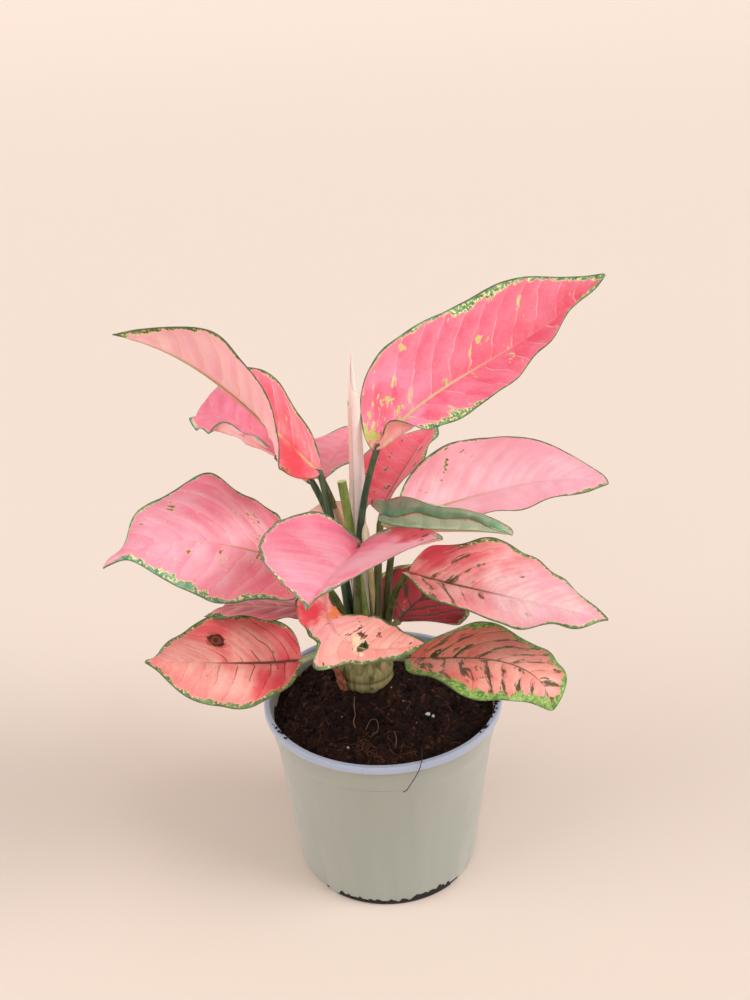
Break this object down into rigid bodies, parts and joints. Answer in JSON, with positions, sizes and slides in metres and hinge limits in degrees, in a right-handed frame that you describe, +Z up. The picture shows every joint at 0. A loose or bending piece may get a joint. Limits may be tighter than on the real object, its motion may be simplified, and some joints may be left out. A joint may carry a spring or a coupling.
{
  "type": "potted chinese evergreen",
  "caption": "Chinese evergreen with pink leaves edged in green on upright stalks, growing from a short cane in a tapered nursery pot of soil, to stand on a level surface.",
  "frame": {"origin": "centre of the pot's flat underside, on the surface the plant stands on", "axes": "+Z up, -Y towards the front of the plant, +X to its right as seen from the front"},
  "size_m": [0.2258, 0.2051, 0.3025],
  "materials": {
    "pot_plastic": "smooth grey-green moulded plastic, satin",
    "soil": "dark damp peat with fibres and a few perlite grains, matte",
    "cane": "pale green with ring scars, satin",
    "pink_leaf": "waxy pink blade with a green-flecked margin, satin",
    "red_leaf": "waxy coral blade with dark green veins and margin, satin",
    "green_leaf": "rolled leaf that shows its green underside, satin",
    "rolled_leaf": "pale pink unopened leaf, satin",
    "petiole": "green leaf stalk, cut flat at the top, satin",
    "bud": "cream bud, satin",
    "dry_sheath": "dry brown scale, matte"
  },
  "bodies": {
    "root": {"pot": "pot_plastic", "soil": "soil", "cane": "cane", "leaf_top_right": "pink_leaf", "leaf_top_left": "pink_leaf", "leaf_left_back": "pink_leaf", "leaf_back": "pink_leaf", "leaf_left_rear": "pink_leaf", "leaf_right_back": "pink_leaf", "leaf_right_upper": "pink_leaf", "leaf_green_fold": "green_leaf", "leaf_right_lower": "red_leaf", "leaf_right_low": "red_leaf", "leaf_right_shade": "red_leaf", "leaf_left_mid": "pink_leaf", "leaf_left_under": "pink_leaf", "leaf_left_low": "red_leaf", "leaf_front": "pink_leaf", "leaf_front_low": "red_leaf", "rolled_leaf": "rolled_leaf", "cut_petiole": "petiole", "flower_bud": "bud", "dry_sheath": "dry_sheath"}
  },
  "joints": []
}
